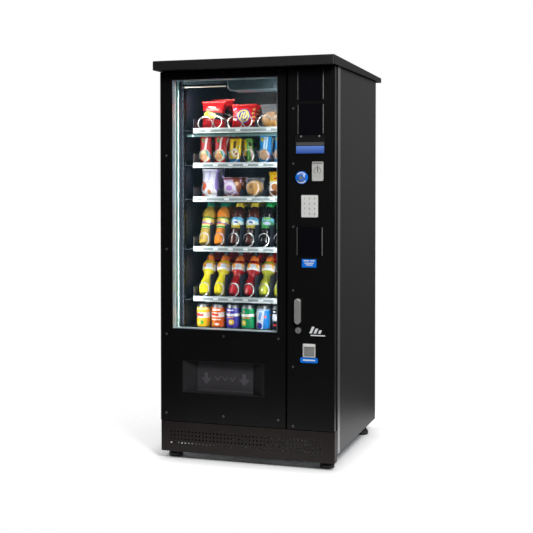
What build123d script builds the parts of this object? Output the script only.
"""Snack vending machine: a refrigerated cabinet with a glazed product door, a payment door,
six sliding trays of spirals and a delivery bin. Millimetres, +Z up, the front looks along -Y.
The origin lies on the floor, below the middle of the roof.
"""

import os
from math import pi

from build123d import *

os.makedirs("parts", exist_ok=True)

# ---- driving dimensions --------------------------------------------------------------------
# In this file x runs from the cabinet's left side, d runs back from the doors' face and
# z runs up from the floor. from_left() and behind() turn the first two into row coordinates.
body_width = 832.0
door_face = -436.0  # Y of the doors' front face
cabinet_front = 50.0  # d of the cabinet's front edge, behind the doors and their seals
cabinet_back = 848.0

roof_width = 856.0
roof_depth = 988.0
roof_height = 1830.0
roof_front_lip = 41.7  # height of the roof's front edge
roof_drop = 7.8  # fall of the roof's top towards the back
roof_rise = 10.0  # rise of the roof's lower edge towards the back

sheet = 2.0  # folded steel sheet
foot_height = 63.0
kick_bottom, kick_top = 34.0, 172.7
door_bottom, door_top = 176.0, 1784.0
skin_depth = 25.0  # the doors' outer skin
pan_depth = 44.0  # the doors' inner pan ends here
product_door_right = 606.0
payment_door_left = 612.0

window_x = (62.0, 567.5)
window_z = (604.5, 1746.5)
hatch_x = (110.0, 507.0)
hatch_z = (311.0, 460.0)
flap_x = (171.5, 445.5)
flap_z = (314.0, 452.0)
flap_depth = 30.0

chamber_x = (62.0, 584.0)  # the cold compartment between its side walls
chamber_z = (290.0, 1764.0)
chamber_back = 790.0
bulkhead_right = 612.0

tray_x = (98.0, 548.0)
tray_front, tray_back = 170.0, 740.0
lip_height = 25.0
deck_drop = 4.0  # the deck lies this far below the top of the price rail
tray_tops = (1535.0, 1372.0, 1212.0, 977.0, 740.0, 561.0)
lane_counts = (3, 6, 4, 6, 6, 6)
divider_heights = (38.0, 38.0, 38.0, 105.0, 105.0, 60.0)
coil_radii = (28.7, 31.5, 36.0, 31.5, 31.5, 31.5)
wire_radius = 1.9
wire_sides = 8  # eight flats stand for the round wire, which keeps the spirals light
coil_pitch = 75.0
vend_lane = 2  # the lane of the lowest tray whose spiral and cans move

pin_radius = 5.0
pin_clearance = 0.05
pin_x_left, pin_x_right, pin_depth = 12.0, 820.0, 14.0

head_radius = 5.5  # door screws
head_height = 1.8


# ---- placing helpers -----------------------------------------------------------------------
def from_left(x):
    """Row X of a point x to the right of the cabinet's left side."""
    return x - body_width / 2


def behind(d):
    """Row Y of a point d behind the doors' face."""
    return door_face + d


def slab(x0, x1, d0, d1, z0, z1, mode=Mode.ADD):
    """Adds or cuts a plain block between two corners."""
    with Locations((from_left(x0), behind(d0), z0)):
        Box(x1 - x0, d1 - d0, z1 - z0, align=(Align.MIN, Align.MIN, Align.MIN), mode=mode)


def front_plane(d):
    """Upright plane d behind the doors' face, seen from the front: x across, z up."""
    return Plane(origin=(from_left(0), behind(d), 0), x_dir=(1, 0, 0), z_dir=(0, -1, 0))


def floor_plane(z):
    """Level plane at height z: x across, d back."""
    return Plane(origin=(from_left(0), door_face, z), x_dir=(1, 0, 0), z_dir=(0, 0, 1))


def side_plane(x):
    """Upright plane at x, seen from the right: d across, z up."""
    return Plane(origin=(from_left(x), door_face, 0), x_dir=(0, 1, 0), z_dir=(1, 0, 0))


def front_plate(x0, x1, z0, z1, d0, d1, corner=0.0, mode=Mode.ADD):
    """Upright plate from depth d0 back to d1, with rounded corners."""
    with BuildSketch(front_plane(d0)) as outline:
        with Locations(((x0 + x1) / 2, (z0 + z1) / 2)):
            if corner > 0:
                RectangleRounded(x1 - x0, z1 - z0, corner)
            else:
                Rectangle(x1 - x0, z1 - z0)
    extrude(outline.sketch, amount=-(d1 - d0), mode=mode)


def front_rod(x, z, radius, d0, d1, mode=Mode.ADD):
    """Round rod along the depth, from d0 back to d1."""
    with BuildSketch(front_plane(d0)) as section:
        with Locations((x, z)):
            Circle(radius)
    extrude(section.sketch, amount=-(d1 - d0), mode=mode)


def upright_rod(x, d, radius, z0, z1, mode=Mode.ADD):
    """Round upright rod."""
    with BuildSketch(floor_plane(z0)) as section:
        with Locations((x, d)):
            Circle(radius)
    extrude(section.sketch, amount=z1 - z0, mode=mode)


def cross_rod(d, z, radius, x0, x1, mode=Mode.ADD):
    """Round rod across the machine."""
    with BuildSketch(side_plane(x0)) as section:
        with Locations((d, z)):
            Circle(radius)
    extrude(section.sketch, amount=x1 - x0, mode=mode)


def roof_underside(d):
    """Height of the roof's lower edge, d behind the doors' face."""
    front = -(roof_depth / 2 + door_face)
    return roof_height - roof_front_lip + roof_rise * (d - front) / roof_depth


def door_shell(x0, x1, d0, d1, z0, z1, openings, left_round, right_round, open_at_back):
    """Folded sheet shell of a door with flanged openings, open on one face."""
    with BuildSketch(floor_plane(z0)) as outline:
        with Locations(((x0 + x1) / 2, (d0 + d1) / 2)):
            Rectangle(x1 - x0, d1 - d0)
        front = outline.vertices().group_by(Axis.Y)[0].sort_by(Axis.X)
        fillet(front[0], left_round)
        fillet(front[1], right_round)
    extrude(outline.sketch, amount=z1 - z0)
    with BuildSketch(floor_plane(z0 + sheet)) as hollow:
        with Locations(((x0 + x1) / 2, (d0 + d1) / 2)):
            Rectangle(x1 - x0 - 2 * sheet, d1 - d0 - 2 * sheet)
        front = hollow.vertices().group_by(Axis.Y)[0].sort_by(Axis.X)
        if left_round > sheet + 0.5:
            fillet(front[0], left_round - sheet)
        if right_round > sheet + 0.5:
            fillet(front[1], right_round - sheet)
    extrude(hollow.sketch, amount=z1 - z0 - 2 * sheet, mode=Mode.SUBTRACT)
    if open_at_back:
        slab(x0 + sheet, x1 - sheet, d1 - sheet, d1, z0 + sheet, z1 - sheet, Mode.SUBTRACT)
    else:
        slab(x0 + sheet, x1 - sheet, d0, d0 + sheet, z0 + sheet, z1 - sheet, Mode.SUBTRACT)
    for a, b, low, high in openings:
        slab(a - sheet, b + sheet, d0, d1, low - sheet, high + sheet)
        slab(a, b, d0, d1, low, high, Mode.SUBTRACT)


# ---- base ----------------------------------------------------------------------------------
foot_places = [(50.0, 66.0), (782.0, 66.0), (50.0, 758.0), (782.0, 758.0)]
pan_top = 128.0
pan_front, pan_back = 56.0, 845.5

with BuildPart() as base_pan:
    slab(3, 829, pan_front, pan_back, foot_height, pan_top)
    slab(6, 826, pan_front + 3, pan_back - 3, foot_height + 3, pan_top, Mode.SUBTRACT)
    slab(60, 772, pan_front, pan_front + 3, foot_height + 12, pan_top, Mode.SUBTRACT)
base_pan.part.label = "base_pan"
export_step(base_pan.part, "parts/base_pan.step")

with BuildPart() as levelling_feet:
    for foot_x, foot_d in foot_places:
        with BuildSketch(side_plane(foot_x)):
            with BuildLine():
                Polyline(
                    (foot_d, 0), (foot_d + 30, 0), (foot_d + 33, 3), (foot_d + 33, 14),
                    (foot_d + 24, 30), (foot_d + 24, 44), (foot_d + 12, 50),
                    (foot_d + 12, foot_height), (foot_d, foot_height), (foot_d, 0),
                )
            make_face()
        revolve(axis=Axis((from_left(foot_x), behind(foot_d), 0), (0, 0, 1)))
levelling_feet.part.label = "levelling_feet"
export_step(levelling_feet.part, "parts/levelling_feet.step")

kick_back = 48.0
with BuildPart() as kick_plate:
    with BuildSketch(floor_plane(kick_bottom)) as kick_outline:
        with Locations((body_width / 2, kick_back / 2)):
            Rectangle(body_width, kick_back)
        fillet(kick_outline.vertices().group_by(Axis.Y)[0], 12)
    extrude(amount=kick_top - kick_bottom)
    with BuildSketch(floor_plane(kick_bottom)) as kick_hollow:
        with Locations((body_width / 2, (kick_back + sheet) / 2)):
            Rectangle(body_width - 2 * sheet, kick_back - sheet)
        fillet(kick_hollow.vertices().group_by(Axis.Y)[0], 12 - sheet)
    extrude(amount=kick_top - kick_bottom - sheet, mode=Mode.SUBTRACT)
    with BuildSketch(front_plane(0)):
        with Locations((411.4, 101.5)):
            with GridLocations(17.44, 17.23, 42, 4):
                Circle(4)
    extrude(amount=-sheet, mode=Mode.SUBTRACT)
kick_plate.part.label = "kick_plate"
export_step(kick_plate.part, "parts/kick_plate.step")

# ---- cabinet -------------------------------------------------------------------------------
frame_front = cabinet_front
frame_back = cabinet_front + 3.0
grille_x, grille_z = (120.0, 712.0), (80.0, 280.0)

with BuildPart() as cabinet_wrapper:
    with BuildSketch(side_plane(0)):
        with BuildLine():
            Polyline(
                (frame_back, foot_height), (frame_back, roof_underside(frame_back)),
                (cabinet_back, roof_underside(cabinet_back)), (cabinet_back, foot_height),
                (frame_back, foot_height),
            )
        make_face()
    extrude(amount=body_width)
    slab(sheet, body_width - sheet, frame_back, cabinet_back - sheet, 0, roof_height, Mode.SUBTRACT)
    slab(*grille_x, cabinet_back - sheet, cabinet_back, *grille_z, Mode.SUBTRACT)
cabinet_wrapper.part.label = "cabinet_wrapper"
export_step(cabinet_wrapper.part, "parts/cabinet_wrapper.step")

with BuildPart() as front_frame:
    front_plate(0, body_width, foot_height + 3, 1787, frame_front, frame_back)
    front_plate(*chamber_x, *chamber_z, frame_front, frame_back, mode=Mode.SUBTRACT)
    front_plate(624, 820, 200, 1768, frame_front, frame_back, mode=Mode.SUBTRACT)
    front_plate(60, 772, 76, 168, frame_front, frame_back, mode=Mode.SUBTRACT)
front_frame.part.label = "front_frame"
export_step(front_frame.part, "parts/front_frame.step")

with BuildPart() as inner_liner:
    wall = 1.5
    slab(chamber_x[0] - wall, chamber_x[0], frame_back, chamber_back, *chamber_z)
    slab(chamber_x[1], bulkhead_right, frame_back, chamber_back, *chamber_z)
    slab(
        chamber_x[1] + wall, bulkhead_right - wall, frame_back, chamber_back,
        chamber_z[0] + wall, chamber_z[1] - wall, Mode.SUBTRACT,
    )
    slab(
        chamber_x[0] - wall, bulkhead_right, chamber_back, chamber_back + wall,
        chamber_z[0] - wall, chamber_z[1] + wall,
    )
    slab(chamber_x[0] - wall, bulkhead_right, frame_back, chamber_back, chamber_z[1], chamber_z[1] + wall)
    slab(chamber_x[0] - wall, bulkhead_right, frame_back, chamber_back, chamber_z[0] - wall, chamber_z[0])
inner_liner.part.label = "inner_liner"
export_step(inner_liner.part, "parts/inner_liner.step")

strip_back = 72.0
with BuildPart() as breaker_frame:
    front_plate(*chamber_x, *chamber_z, frame_front, strip_back)
    front_plate(
        chamber_x[0] + 3, chamber_x[1] - 3, chamber_z[0] + 3, chamber_z[1] - 3,
        frame_front, strip_back, mode=Mode.SUBTRACT,
    )
breaker_frame.part.label = "breaker_frame"
export_step(breaker_frame.part, "parts/breaker_frame.step")

trim_front, trim_back, trim_proud = 55.0, 94.0, 1.2
with BuildPart() as corner_trims:
    trim_top = roof_underside(trim_front)
    slab(-trim_proud, 0, trim_front, trim_back, foot_height, trim_top)
    slab(body_width, body_width + trim_proud, trim_front, trim_back, foot_height, trim_top)
corner_trims.part.label = "corner_trims"
export_step(corner_trims.part, "parts/corner_trims.step")

roof_sheet = 3.0
roof_hem = 12.5
with BuildPart() as roof_cover:
    half_depth = roof_depth / 2
    low_front = roof_height - roof_front_lip
    low_back = low_front + roof_rise
    with BuildSketch(Plane.YZ):
        with BuildLine():
            Polyline(
                (-half_depth, low_front), (-half_depth, roof_height),
                (half_depth, roof_height - roof_drop), (half_depth, low_back),
                (-half_depth, low_front),
            )
        make_face()
    extrude(amount=roof_width / 2, both=True)
    fillet(roof_cover.edges().filter_by(Axis.Z), 8)
    fillet(roof_cover.faces().sort_by(Axis.Z)[-1].edges(), 4)
    inner_half = half_depth - roof_sheet
    with BuildSketch(Plane.YZ):
        with BuildLine():
            Polyline(
                (-inner_half, low_front + roof_sheet), (-inner_half, roof_height - 5),
                (inner_half, roof_height - roof_drop - 5), (inner_half, low_back + roof_sheet),
                (-inner_half, low_front + roof_sheet),
            )
        make_face()
    extrude(amount=roof_width / 2 - roof_sheet - 2, both=True, mode=Mode.SUBTRACT)
    slab(0, body_width, 58, cabinet_back + 40, low_front - 5, low_back + 8, Mode.SUBTRACT)
roof_cover.part.label = "roof_cover"
export_step(roof_cover.part, "parts/roof_cover.step")

with BuildPart() as back_grille:
    grille_back = cabinet_back + 2
    front_plate(grille_x[0] - 12, grille_x[1] + 12, grille_z[0] - 10, grille_z[1] + 10,
                cabinet_back, grille_back, corner=6)
    with BuildSketch(front_plane(cabinet_back)):
        with Locations((416, 180)):
            with GridLocations(190, 16, 3, 11):
                SlotOverall(150, 7)
    extrude(amount=-2, mode=Mode.SUBTRACT)
back_grille.part.label = "back_grille"
export_step(back_grille.part, "parts/back_grille.step")

with BuildPart() as power_inlet:
    front_plate(742, 802, 96, 146, cabinet_back, cabinet_back + 8, corner=5)
    front_plate(754, 790, 108, 134, cabinet_back + 2, cabinet_back + 8, corner=3, mode=Mode.SUBTRACT)
    for blade_x in (762, 772, 782):
        front_plate(blade_x - 1, blade_x + 1, 116, 126, cabinet_back + 2, cabinet_back + 7)
power_inlet.part.label = "power_inlet"
export_step(power_inlet.part, "parts/power_inlet.step")

# Brackets on the cabinet carry a pin above and below each door.
with BuildPart() as hinge_pins:
    for pin_x, side in ((pin_x_left, 1), (pin_x_right, -1)):
        inner_x = pin_x + side * 26
        outer_x = pin_x - side * 8
        for low, high, pin_low, pin_high in (
            (door_top + 0.5, 1787.0, 1752.0, door_top + 0.5),
            (kick_top + 0.3, door_bottom - 0.4, door_bottom - 0.4, 208.0),
        ):
            slab(min(inner_x, outer_x), max(inner_x, outer_x), 6, frame_front, low, high)
            upright_rod(pin_x, pin_depth, pin_radius, pin_low, pin_high)
hinge_pins.part.label = "hinge_pins"
export_step(hinge_pins.part, "parts/hinge_pins.step")

# ---- cold chamber fittings -----------------------------------------------------------------
rail_drop = 12.0  # rails lie this far below a tray's deck
with BuildPart() as tray_rails:
    for wall_x, side in ((chamber_x[0], 1), (chamber_x[1], -1)):
        for post_d in (112.0, 700.0):
            near, far = sorted((wall_x, wall_x + side * 10))
            slab(near, far, post_d, post_d + 40, chamber_z[0] + 10, chamber_z[1] - 10)
            groove_near, groove_far = sorted((wall_x + side * 4, wall_x + side * 10))
            slab(groove_near, groove_far, post_d + 14, post_d + 24,
                 chamber_z[0] + 10, chamber_z[1] - 10, Mode.SUBTRACT)
        for top in tray_tops:
            rail_z = top - deck_drop - rail_drop
            near, far = sorted((wall_x + side * 10, wall_x + side * 12))
            slab(near, far, 124, 738, rail_z, rail_z + 22)
            near, far = sorted((wall_x + side * 12, wall_x + side * 30))
            slab(near, far, 124, 738, rail_z, rail_z + 2)
tray_rails.part.label = "tray_rails"
export_step(tray_rails.part, "parts/tray_rails.step")

with BuildPart() as divider_shelf:
    slab(74.5, 571.5, 152, 786, 1496, 1500)
    slab(74.5, 571.5, 148, 152, 1492, 1504)
divider_shelf.part.label = "divider_shelf"
export_step(divider_shelf.part, "parts/divider_shelf.step")

with BuildPart() as top_light:
    cross_rod(96, 1727, 5, 84, 296)
    slab(72, 84, 88, 104, 1717, 1737)
    slab(72, 296, 90, 102, 1734, 1764)
    slab(74, 296, 92, 100, 1736, 1762, Mode.SUBTRACT)
top_light.part.label = "top_light"
export_step(top_light.part, "parts/top_light.step")

with BuildPart() as duct_cover:
    with BuildSketch(front_plane(86)) as duct_outline:
        with Locations(((298 + 568) / 2, (1698 + 1764) / 2)):
            Rectangle(568 - 298, 1764 - 1698)
        fillet(duct_outline.vertices().sort_by(Axis.X)[:2].sort_by(Axis.Z)[0], 26)
    extrude(amount=-106)
    fillet(duct_cover.faces().sort_by(Axis.Y)[0].edges().sort_by(Axis.Z)[:1], 8)
    slab(330, 556, 96, 188, 1702, 1764, Mode.SUBTRACT)
duct_cover.part.label = "duct_cover"
export_step(duct_cover.part, "parts/duct_cover.step")

bin_x, bin_d, bin_z = (76.0, 570.0), (76.0, 330.0), (chamber_z[0] + 3, 520.0)
with BuildPart() as delivery_bin:
    with BuildSketch(side_plane(bin_x[0])):
        with BuildLine():
            Polyline(
                (bin_d[0], bin_z[0]), (bin_d[1], bin_z[0] + 22), (bin_d[1], bin_z[1]),
                (bin_d[1] - sheet, bin_z[1]), (bin_d[1] - sheet, bin_z[0] + 26),
                (bin_d[0] + 1, bin_z[0] + 5), (bin_d[0] + 1, bin_z[0] + 16),
                (bin_d[0] - 1, bin_z[0] + 16), (bin_d[0] - 1, bin_z[0]), (bin_d[0], bin_z[0]),
            )
        make_face()
    extrude(amount=bin_x[1] - bin_x[0])
    slab(bin_x[0], bin_x[0] + sheet, bin_d[0], bin_d[1], bin_z[0] + 22, bin_z[1])
    slab(bin_x[1] - sheet, bin_x[1], bin_d[0], bin_d[1], bin_z[0] + 22, bin_z[1])
    with BuildSketch(side_plane(bin_x[0])):
        with BuildLine():
            Polyline(
                (bin_d[0], bin_z[0]), (bin_d[1], bin_z[0] + 22), (bin_d[0], bin_z[0] + 22),
                (bin_d[0], bin_z[0]),
            )
        make_face()
    extrude(amount=sheet)
    with BuildSketch(side_plane(bin_x[1] - sheet)):
        with BuildLine():
            Polyline(
                (bin_d[0], bin_z[0]), (bin_d[1], bin_z[0] + 22), (bin_d[0], bin_z[0] + 22),
                (bin_d[0], bin_z[0]),
            )
        make_face()
    extrude(amount=sheet)
delivery_bin.part.label = "delivery_bin"
export_step(delivery_bin.part, "parts/delivery_bin.step")

# ---- cooling unit under the chamber --------------------------------------------------------
unit_floor = foot_height + 3
with BuildPart() as compressor:
    slab(150, 330, 420, 560, unit_floor, unit_floor + 6)
    with BuildSketch(floor_plane(unit_floor + 6)):
        with Locations((240, 490)):
            Ellipse(82, 62)
    extrude(amount=150)
    fillet(compressor.faces().sort_by(Axis.Z)[-1].edges(), 40)
    upright_rod(180, 520, 5, unit_floor + 100, unit_floor + 190)
compressor.part.label = "compressor"
export_step(compressor.part, "parts/compressor.step")

fan_x, fan_z, fan_d = 416.0, 168.0, 132.0
with BuildPart() as condenser:
    slab(306, 309, 62, 106, unit_floor, 272)
    slab(523, 526, 62, 106, unit_floor, 272)
    for row in range(7):
        for column in (72, 96):
            cross_rod(column, 90 + 28 * row, 4, 309, 523)
    for fin in range(22):
        slab(315 + 9.5 * fin, 316 + 9.5 * fin, 64, 104, 78, 268)
condenser.part.label = "condenser"
export_step(condenser.part, "parts/condenser.step")

blade_radius = 84.0
with BuildPart() as condenser_fan:
    front_rod(fan_x, fan_z, 24, fan_d - 14, fan_d + 14)
    with BuildSketch(front_plane(fan_d)):
        with Locations((fan_x, fan_z)):
            with PolarLocations(52, 5):
                SlotOverall(2 * blade_radius - 104, 34)
    extrude(amount=2, both=True)
condenser_fan.part.label = "condenser_fan"
export_step(condenser_fan.part, "parts/condenser_fan.step")

with BuildPart() as fan_motor:
    front_rod(fan_x, fan_z, 4, fan_d + 14.3, fan_d + 60)
    front_rod(fan_x, fan_z, 30, fan_d + 20, fan_d + 60)
    slab(fan_x - 34, fan_x + 34, fan_d + 60, fan_d + 64, unit_floor, fan_z + 40)
fan_motor.part.label = "fan_motor"
export_step(fan_motor.part, "parts/fan_motor.step")

# ---- payment works on the cabinet side -----------------------------------------------------
with BuildPart() as coin_mechanism:
    slab(bulkhead_right, 712, 110, 190, 1150, 1330)
    slab(bulkhead_right, 712, 150, 190, 960, 1150)
    slab(bulkhead_right, 712, 116, 150, 960, 968)
    for tube in range(5):
        upright_rod(626 + 18 * tube, 130, 8.5, 968, 1150)
    slab(bulkhead_right, 742, 90, 300, 300, 410)
    slab(bulkhead_right + 2, 740, 92, 298, 302, 410, Mode.SUBTRACT)
    slab(652, 704, 78, 82, 350, 358)
    slab(652, 656, 82, 90, 350, 358)
    slab(700, 704, 82, 90, 350, 358)
coin_mechanism.part.label = "coin_mechanism"
export_step(coin_mechanism.part, "parts/coin_mechanism.step")

# ---- product door --------------------------------------------------------------------------
with BuildPart() as product_door_skin:
    door_shell(
        0, product_door_right, 0, skin_depth, door_bottom, door_top,
        [(*window_x, *window_z), (*hatch_x, *hatch_z)], 6, 3, True,
    )
    for low, high in ((1750, door_top), (door_bottom, 210)):
        slab(sheet, 24, sheet, skin_depth, low, high)
        upright_rod(pin_x_left, pin_depth, pin_radius + pin_clearance, low, high, Mode.SUBTRACT)
product_door_skin.part.label = "product_door_skin"
export_step(product_door_skin.part, "parts/product_door_skin.step")

pan_hatch_x, pan_hatch_z = (150.0, 467.0), (300.0, 474.0)
with BuildPart() as product_door_pan:
    door_shell(
        8, product_door_right - 8, skin_depth, pan_depth, door_bottom + 8, door_top - 8,
        [(*window_x, *window_z), (*pan_hatch_x, *pan_hatch_z)], 1, 1, False,
    )
product_door_pan.part.label = "product_door_pan"
export_step(product_door_pan.part, "parts/product_door_pan.step")

with BuildPart() as product_door_gasket:
    front_plate(16, 594, 268, 1775, pan_depth, cabinet_front - 0.3, corner=4)
    front_plate(32, 578.5, 284, 1759, pan_depth, cabinet_front - 0.3, corner=2, mode=Mode.SUBTRACT)
product_door_gasket.part.label = "product_door_gasket"
export_step(product_door_gasket.part, "parts/product_door_gasket.step")

glass_front = 20.0
with BuildPart() as window_bezel:
    front_plate(*window_x, *window_z, 0.6, glass_front)
    front_plate(
        window_x[0] + 2, window_x[1] - 2, window_z[0] + 2, window_z[1] - 2,
        0.6, glass_front, mode=Mode.SUBTRACT,
    )
window_bezel.part.label = "window_bezel"
export_step(window_bezel.part, "parts/window_bezel.step")

pane = 4.0
glass_back = 39.0
with BuildPart() as window_glass:
    front_plate(*window_x, *window_z, glass_front, glass_front + pane)
    front_plate(*window_x, *window_z, glass_back - pane, glass_back)
window_glass.part.label = "window_glass"
export_step(window_glass.part, "parts/window_glass.step")

with BuildPart() as glass_spacer:
    front_plate(*window_x, *window_z, glass_front + pane, glass_back - pane)
    front_plate(
        window_x[0] + 4, window_x[1] - 4, window_z[0] + 4, window_z[1] - 4,
        glass_front + pane, glass_back - pane, mode=Mode.SUBTRACT,
    )
glass_spacer.part.label = "glass_spacer"
export_step(glass_spacer.part, "parts/glass_spacer.step")

# The hatch is a tapered surround that leads in to a flap set back from the door's face.
flap_gap = 1.0
flap_pin_z = flap_z[1] - 5.0
flap_pin_d = flap_depth + 5.0
with BuildPart() as delivery_hatch:
    mouth = ((hatch_x[0] + hatch_x[1]) / 2, (hatch_z[0] + hatch_z[1]) / 2)
    throat = ((flap_x[0] + flap_x[1]) / 2, (flap_z[0] + flap_z[1]) / 2)
    throat_width = flap_x[1] - flap_x[0] + 2 * flap_gap
    throat_height = flap_z[1] - flap_z[0] + 2 * flap_gap
    front_plate(*hatch_x, *hatch_z, 0, skin_depth)
    front_plate(flap_x[0] - 18, flap_x[1] + 18, hatch_z[0], hatch_z[1], skin_depth, pan_depth - 1)
    with BuildSketch(front_plane(0)):
        with Locations(mouth):
            Rectangle(hatch_x[1] - hatch_x[0] - 6, hatch_z[1] - hatch_z[0] - 4)
    with BuildSketch(front_plane(flap_depth - 3)):
        with Locations(throat):
            Rectangle(throat_width, throat_height)
    loft(mode=Mode.SUBTRACT)
    front_plate(
        flap_x[0] - flap_gap, flap_x[1] + flap_gap, flap_z[0] - flap_gap, flap_z[1] + flap_gap,
        flap_depth - 3, pan_depth, mode=Mode.SUBTRACT,
    )
    cross_rod(flap_pin_d, flap_pin_z, 2.55, flap_x[0] - 9.5, flap_x[1] + 9.5, Mode.SUBTRACT)
delivery_hatch.part.label = "delivery_hatch"
export_step(delivery_hatch.part, "parts/delivery_hatch.step")

with BuildPart() as delivery_flap:
    front_plate(*flap_x, *flap_z, flap_depth, flap_depth + 4, corner=2)
    cross_rod(flap_pin_d, flap_pin_z, 4, flap_x[0], flap_x[1])
    cross_rod(flap_pin_d, flap_pin_z, 2.5, flap_x[0] - 9, flap_x[1] + 9)
delivery_flap.part.label = "delivery_flap"
export_step(delivery_flap.part, "parts/delivery_flap.step")

product_screws = [
    (34, 1774), (306, 1774), (577, 1774), (32, 1400), (32, 970),
    (31, 577), (311, 577), (573, 577), (30, 212), (311, 212), (572, 212),
]
with BuildPart() as product_door_screws:
    for screw_x, screw_z in product_screws:
        front_rod(screw_x, screw_z, head_radius, -head_height, 0)
    fillet(product_door_screws.faces().group_by(Axis.Y)[0].edges(), 1.2)
product_door_screws.part.label = "product_door_screws"
export_step(product_door_screws.part, "parts/product_door_screws.step")

# ---- payment door --------------------------------------------------------------------------
cup_x, cup_z, cup_depth = (693.0, 739.0), (507.0, 555.0), 58.0
button_x, button_z, button_radius = 681.0, 1297.0, 17.0
handle_x, handle_z0, handle_z1 = 665.5, 648.0, 761.0
handle_pivot_z = 744.0
lock_x, lock_z = 666.0, 619.0

with BuildPart() as payment_door_skin:
    door_shell(
        payment_door_left, body_width, 0, skin_depth, door_bottom, door_top, [], 8, 12, True
    )
    for low, high in ((1750, door_top), (door_bottom, 210)):
        slab(808, 830, 12, skin_depth, low, high)
        slab(808, 826, sheet, 12, low, high)
        upright_rod(pin_x_right, pin_depth, pin_radius + pin_clearance, low, high, Mode.SUBTRACT)
    slab(cup_x[0] - 2, cup_x[1] + 2, 0, sheet, cup_z[0] - 2, cup_z[1] + 2, Mode.SUBTRACT)
    front_rod(button_x, button_z, button_radius + 0.5, 0, sheet, Mode.SUBTRACT)
    front_rod(handle_x, handle_pivot_z, 8.05, 0, sheet, Mode.SUBTRACT)
    front_rod(lock_x, lock_z, 11, 0, sheet, Mode.SUBTRACT)
payment_door_skin.part.label = "payment_door_skin"
export_step(payment_door_skin.part, "parts/payment_door_skin.step")

with BuildPart() as payment_door_pan:
    door_shell(
        payment_door_left + 8, body_width - 8, skin_depth, pan_depth,
        door_bottom + 8, door_top - 8, [(cup_x[0] - 2, cup_x[1] + 2, cup_z[0] - 2, cup_z[1] + 2)],
        1, 1, False,
    )
    front_rod(handle_x, handle_pivot_z, 8.05, skin_depth, pan_depth, Mode.SUBTRACT)
    front_rod(lock_x, lock_z, 11, skin_depth, pan_depth, Mode.SUBTRACT)
payment_door_pan.part.label = "payment_door_pan"
export_step(payment_door_pan.part, "parts/payment_door_pan.step")

with BuildPart() as blank_panels:
    for x0, x1, low, high in (
        (664, 778, 1638, 1774), (665, 778, 1487, 1622), (661, 774, 950, 1081),
    ):
        front_plate(x0, x1, low, high, -1.6, 0, corner=2.5)
blank_panels.part.label = "blank_panels"
export_step(blank_panels.part, "parts/blank_panels.step")

with BuildPart() as display_bezel:
    front_plate(651, 787, 1400, 1484, -2.5, 0, corner=3)
    front_plate(654, 784, 1455, 1481, -2.5, -0.8, corner=2, mode=Mode.SUBTRACT)
    front_plate(656, 784, 1404, 1437, -2.5, -1, corner=1.5, mode=Mode.SUBTRACT)
display_bezel.part.label = "display_bezel"
export_step(display_bezel.part, "parts/display_bezel.step")

with BuildPart() as display_window:
    front_plate(656, 784, 1404, 1437, -2.0, -1, corner=1.5)
display_window.part.label = "display_window"
export_step(display_window.part, "parts/display_window.step")

with BuildPart() as coin_plate:
    front_plate(729, 780, 1282, 1367, -4, 0, corner=5)
    front_plate(752, 756, 1318, 1350, -4, 0, corner=1.8, mode=Mode.SUBTRACT)
    front_plate(737, 771, 1290, 1304, -4, -2.5, corner=2, mode=Mode.SUBTRACT)
    fillet(coin_plate.faces().sort_by(Axis.Y)[0].outer_wire().edges(), 1)
coin_plate.part.label = "coin_plate"
export_step(coin_plate.part, "parts/coin_plate.step")

with BuildPart() as button_ring:
    front_rod(button_x, button_z, 28.5, -4, 0)
    front_rod(button_x, button_z, button_radius + 0.5, -4, 0, Mode.SUBTRACT)
    chamfer(button_ring.faces().sort_by(Axis.Y)[0].outer_wire().edges(), 1.5)
button_ring.part.label = "button_ring"
export_step(button_ring.part, "parts/button_ring.step")

button_travel = 4.0
with BuildPart() as coin_return_button:
    front_rod(button_x, button_z, button_radius, -9, 8)
    fillet(coin_return_button.faces().sort_by(Axis.Y)[0].edges(), 2)
    front_rod(button_x, button_z, 5, 8, 16)
coin_return_button.part.label = "coin_return_button"
export_step(coin_return_button.part, "parts/coin_return_button.step")

with BuildPart() as keypad:
    front_plate(680, 756, 1122, 1220, -2, 0, corner=4)
    with BuildSketch(front_plane(-2)):
        with Locations((718, 1171)):
            with GridLocations(23, 22.5, 3, 4):
                RectangleRounded(18, 17, 2.5)
    extrude(amount=0.8)
keypad.part.label = "keypad"
export_step(keypad.part, "parts/keypad.step")

with BuildPart() as lock_plates:
    front_plate(handle_x - 12, handle_x + 12, handle_z0 + 4, handle_z1 - 2, -3, 0, corner=6)
    front_rod(handle_x, handle_pivot_z, 8.05, -3, 0, Mode.SUBTRACT)
    front_rod(lock_x, lock_z, 13.5, -4, 0)
    front_rod(lock_x, lock_z, 10.9, 0, 30)
    front_rod(lock_x, lock_z, 8.05, -4, 30, Mode.SUBTRACT)
lock_plates.part.label = "lock_plates"
export_step(lock_plates.part, "parts/lock_plates.step")

with BuildPart() as handle:
    with BuildSketch(front_plane(-3.4)):
        with Locations((handle_x, (handle_z0 + handle_z1) / 2)):
            SlotOverall(handle_z1 - handle_z0, 28, rotation=90)
    extrude(amount=17)
    fillet(handle.faces().sort_by(Axis.Y)[0].edges(), 4)
    front_rod(handle_x, handle_pivot_z, 8, -3.4, 52)
    front_plate(handle_x - 9, handle_x + 9, handle_pivot_z - 60, handle_pivot_z + 10, 46, 50, corner=4)
handle.part.label = "handle"
export_step(handle.part, "parts/handle.step")

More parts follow.
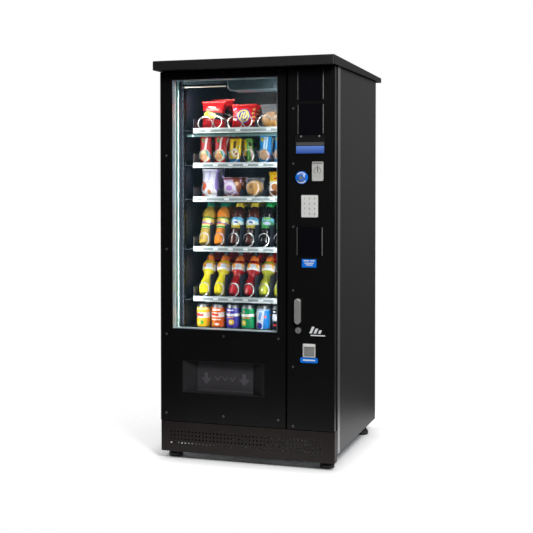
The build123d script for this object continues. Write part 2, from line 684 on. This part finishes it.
with BuildPart() as key_plug:
    front_rod(lock_x, lock_z, 8, -4.5, 34)
    front_plate(lock_x - 1.2, lock_x + 1.2, lock_z - 5, lock_z + 5, -4.5, 3, mode=Mode.SUBTRACT)
    front_plate(lock_x - 7, lock_x + 7, lock_z - 34, lock_z + 7, 46, 49, corner=3)
    front_rod(lock_x, lock_z, 5, 34, 46)
key_plug.part.label = "key_plug"
export_step(key_plug.part, "parts/key_plug.step")

with BuildPart() as coin_cup:
    front_plate(cup_x[0] - 6, cup_x[1] + 6, cup_z[0] - 6, cup_z[1] + 6, -2, 0, corner=4)
    front_plate(cup_x[0] - 2, cup_x[1] + 2, cup_z[0] - 2, cup_z[1] + 2, 0, cup_depth)
    front_plate(*cup_x, *cup_z, -2, cup_depth - 2, mode=Mode.SUBTRACT)
    slab(cup_x[0] + 8, cup_x[1] - 8, cup_depth - 24, cup_depth - 6, cup_z[1], cup_z[1] + 2, Mode.SUBTRACT)
coin_cup.part.label = "coin_cup"
export_step(coin_cup.part, "parts/coin_cup.step")

cup_pin_z, cup_pin_d, cup_pin_radius = cup_z[1] - 3.5, 0.8, 1.6
cup_flap_gap, cup_flap_front, cup_flap_back = 0.5, -1.8, -0.2  # the flap lies flush in the cup's rim
with BuildPart() as coin_cup_flap:
    front_plate(
        cup_x[0] + cup_flap_gap, cup_x[1] - cup_flap_gap, cup_z[0] + 2, cup_z[1] - 2.4,
        cup_flap_front, cup_flap_back, corner=1,
    )
    cross_rod(cup_pin_d, cup_pin_z, cup_pin_radius, cup_x[0] + cup_flap_gap, cup_x[1] - cup_flap_gap)
coin_cup_flap.part.label = "coin_cup_flap"
export_step(coin_cup_flap.part, "parts/coin_cup_flap.step")

with BuildPart() as payment_door_screws:
    for screw_z in (1774, 1603, 1359, 1079, 796, 455, 190):
        front_rod(641.5, screw_z, head_radius, -head_height, 0)
    fillet(payment_door_screws.faces().group_by(Axis.Y)[0].edges(), 1.2)
payment_door_screws.part.label = "payment_door_screws"
export_step(payment_door_screws.part, "parts/payment_door_screws.step")


# ---- trays ---------------------------------------------------------------------------------
def lane_centres(row):
    """Middles of a tray's lanes."""
    pitch = (tray_x[1] - tray_x[0]) / lane_counts[row]
    return [tray_x[0] + pitch * (lane + 0.5) for lane in range(lane_counts[row])]


def coil_places(row):
    """Spiral axes of a tray: (x, left-handed). Wide bags stand in a pair of spirals."""
    if row > 0:
        return [(x, True) for x in lane_centres(row)]
    places = []
    for x in lane_centres(row):
        places += [(x - 31, False), (x + 31, True)]
    return places


def spiral(x, row, left_handed, tip_d):
    """One spiral from its tip at the bottom front to the drive disc at the back."""
    radius = coil_radii[row]
    z = tray_tops[row] - deck_drop + radius + wire_radius + 0.3
    tip = (from_left(x), behind(tip_d), z)
    length = disc_d + 2 - tip_d
    with BuildLine() as centre_line:
        Helix(coil_pitch, length, radius, center=tip, direction=(0, 1, 0), lefthand=left_handed)
    # The helix starts at its top, so half a turn brings its tip to the bottom.
    path = centre_line.edges()[0].rotate(Axis(tip, (0, 1, 0)), 180)
    with BuildSketch(Plane(origin=path @ 0, z_dir=path % 0)) as wire:
        RegularPolygon(wire_radius, wire_sides)
    sweep(wire.sketch, path=path, is_frenet=True)
    front_rod(x, z, radius + wire_radius + 0.2, disc_d, disc_d + 4)
    front_rod(x, z, 8, disc_d + 4, tray_back - 2.5)


disc_d = 712.0
tip_front = 174.0
can_tip = 206.0
vend_row = 5
for row, top in enumerate(tray_tops):
    deck = top - deck_drop
    lane_width = (tray_x[1] - tray_x[0]) / lane_counts[row]
    with BuildPart() as tray:
        slab(*tray_x, tray_front - 2, tray_front + 2, top - lip_height, top)
        slab(*tray_x, tray_front + 2, tray_back, deck - 1.5, deck)
        slab(*tray_x, tray_back - 2, tray_back, deck, deck + 62)
        for wall_x, runner_out in ((tray_x[0], -20), (tray_x[1] - 1.5, 20)):
            slab(wall_x, wall_x + 1.5, tray_front + 2, tray_back, deck - 10, deck + 46)
            edge = wall_x if runner_out < 0 else wall_x + 1.5
            near, far = sorted((edge, edge + runner_out))
            slab(near, far, tray_front + 2, tray_back - 4, deck - rail_drop + 2.3, deck - rail_drop + 4.3)
        for lane in range(1, lane_counts[row]):
            middle = tray_x[0] + lane_width * lane
            slab(middle - 0.6, middle + 0.6, 196, tray_back - 2, deck, deck + divider_heights[row])
    tray.part.label = f"tray_{row + 1}"
    export_step(tray.part, f"parts/tray_{row + 1}.step")

    with BuildPart() as spirals:
        for lane, (coil_x, left_handed) in enumerate(coil_places(row)):
            if row == vend_row and lane == vend_lane:
                continue
            spiral(coil_x, row, left_handed, can_tip if row == vend_row else tip_front)
        for coil_x, left_handed in coil_places(row):
            slab(coil_x - 22, coil_x + 22, tray_back, tray_back + 34, deck + 8, deck + 58)
    spirals.part.label = f"spirals_{row + 1}"
    export_step(spirals.part, f"parts/spirals_{row + 1}.step")

vend_x = lane_centres(vend_row)[vend_lane]
with BuildPart() as vend_spiral:
    spiral(vend_x, vend_row, True, can_tip)
vend_spiral.part.label = "vend_spiral"
export_step(vend_spiral.part, "parts/vend_spiral.step")

can_radius, can_height, can_lift = 32.5, 115.0, 30.0
cans_per_lane = 6
with BuildPart() as vend_cans:
    can_base = tray_tops[vend_row] - deck_drop + can_lift
    for place in range(cans_per_lane):
        upright_rod(vend_x, can_tip + coil_pitch * place, can_radius, can_base, can_base + can_height)
vend_cans.part.label = "vend_cans"
export_step(vend_cans.part, "parts/vend_cans.step")

print("vend joint", vend_x - body_width / 2, "advance per radian", coil_pitch / (2 * pi))
